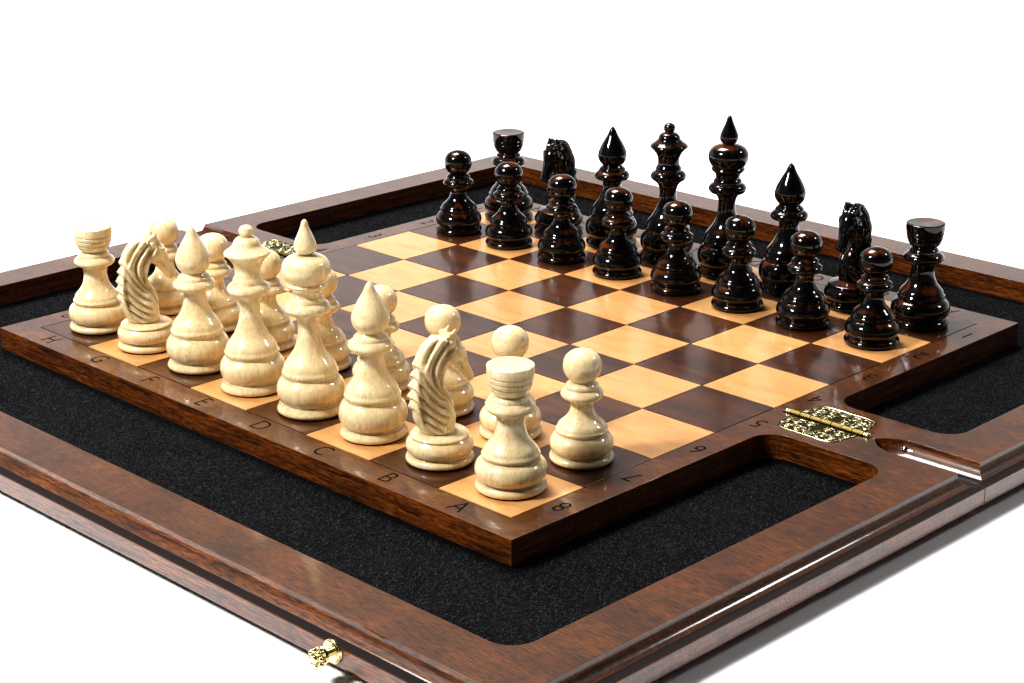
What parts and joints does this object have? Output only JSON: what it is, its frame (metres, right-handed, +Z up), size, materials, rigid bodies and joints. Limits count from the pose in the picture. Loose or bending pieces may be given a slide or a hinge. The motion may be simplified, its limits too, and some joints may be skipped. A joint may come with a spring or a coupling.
{
  "type": "folding chess box",
  "caption": "Folding wooden chess box laid open: raised inlaid board, felt-lined trays on three sides of each half, ornate brass hinges and latches, turned chessmen set up on the squares.",
  "frame": {"origin": "middle of the fold line, on the surface the open box lies on", "axes": "+X along the fold towards file A, +Y from the near half to the far half, +Z up"},
  "size_m": [0.527, 0.5454, 0.1023],
  "materials": {
    "board_wood": "stained brown hardwood under gloss lacquer",
    "base_wood": "stained plywood",
    "light_square": "pale veneer under gloss lacquer",
    "dark_square": "dark stained veneer under gloss lacquer",
    "tray_felt": "black needled felt",
    "hinge_brass": "stamped antique brass",
    "latch_brass": "polished turned brass",
    "pin_steel": "bright steel",
    "light_men": "pale hardwood under clear gloss lacquer",
    "dark_men": "near-black stained hardwood under clear gloss lacquer",
    "disc_felt": "thin dark felt"
  },
  "bodies": {
    "near_half": {"near_board": "board_wood", "near_base_panel": "base_wood", "near_light_squares": "light_square", "near_dark_squares": "dark_square", "near_tray_felt": "tray_felt", "near_leaf_screws": "hinge_brass", "near_leaf_left": "hinge_brass", "near_leaf_right": "hinge_brass", "hinge_pin_left": "hinge_brass", "hinge_pin_right": "hinge_brass", "latch_knob_left": "latch_brass", "latch_knob_right": "latch_brass", "knob_roses": "latch_brass"},
    "far_half": {"far_board": "board_wood", "far_base_panel": "base_wood", "far_light_squares": "light_square", "far_dark_squares": "dark_square", "far_tray_felt": "tray_felt", "far_leaf_screws": "hinge_brass", "far_leaf_left": "hinge_brass", "far_leaf_right": "hinge_brass", "hook_roses": "latch_brass", "hook_studs": "latch_brass", "cove_pins": "pin_steel"},
    "hook_left": {"hook_left": "latch_brass"},
    "hook_right": {"hook_right": "latch_brass"},
    "light_men": {"light_rooks": "light_men", "light_knights": "light_men", "light_bishops": "light_men", "light_king": "light_men", "light_queen": "light_men", "light_pawns": "light_men", "light_felt_discs": "disc_felt"},
    "dark_men": {"dark_rooks": "dark_men", "dark_knights": "dark_men", "dark_bishops": "dark_men", "dark_king": "dark_men", "dark_queen": "dark_men", "dark_pawns": "dark_men", "dark_felt_discs": "disc_felt"}
  },
  "joints": [
    {"name": "fold", "type": "hinge", "parent": "near_half", "child": "far_half", "pos_m": [0, 0, 0.0183], "axis": [1, 0, 0], "range_deg": [0, 180]},
    {"name": "hook_left_swing", "type": "hinge", "parent": "far_half", "child": "hook_left", "pos_m": [-0.18, 0.26515, 0.0095], "axis": [0, -1, 0], "range_deg": [0, 90]},
    {"name": "hook_right_swing", "type": "hinge", "parent": "far_half", "child": "hook_right", "pos_m": [0.18, 0.26515, 0.0095], "axis": [0, 1, 0], "range_deg": [0, 90]},
    {"name": "light_men_lift", "type": "slide", "parent": "near_half", "child": "light_men", "axis": [0, 0, 1], "range_m": [0, 0.8]},
    {"name": "dark_men_lift", "type": "slide", "parent": "near_half", "child": "dark_men", "axis": [0, 0, 1], "range_m": [0, 0.8]}
  ],
  "couplings": [
    {"joint": "light_men_lift", "follows": "fold", "m_per_rad": 0.25},
    {"joint": "dark_men_lift", "follows": "fold", "m_per_rad": 0.25}
  ]
}
